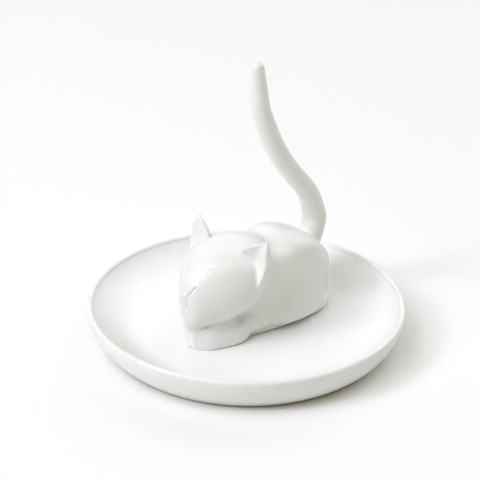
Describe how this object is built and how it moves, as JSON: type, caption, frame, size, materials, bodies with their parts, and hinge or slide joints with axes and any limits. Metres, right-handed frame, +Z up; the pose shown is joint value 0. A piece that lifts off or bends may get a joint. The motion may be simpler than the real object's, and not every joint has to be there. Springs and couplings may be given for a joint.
{
  "type": "jewelry holder",
  "caption": "Glazed ceramic ring holder: a crouching cat on a shallow round dish, its tall curved tail standing up to take rings.",
  "frame": {"origin": "centre of the dish's foot ring on the table", "axes": "+Z up along the standing tail, -Y the way the cat faces, +X to the cat's left"},
  "size_m": [0.12, 0.12, 0.1071],
  "materials": {
    "dish_glaze": "satin white glaze",
    "cat_glaze": "satin white glaze"
  },
  "bodies": {
    "root": {"dish": "dish_glaze", "torso": "cat_glaze", "head": "cat_glaze", "left_ear": "cat_glaze", "right_ear": "cat_glaze", "left_foreleg": "cat_glaze", "right_foreleg": "cat_glaze", "left_haunch": "cat_glaze", "right_haunch": "cat_glaze", "tail": "cat_glaze"}
  },
  "joints": []
}
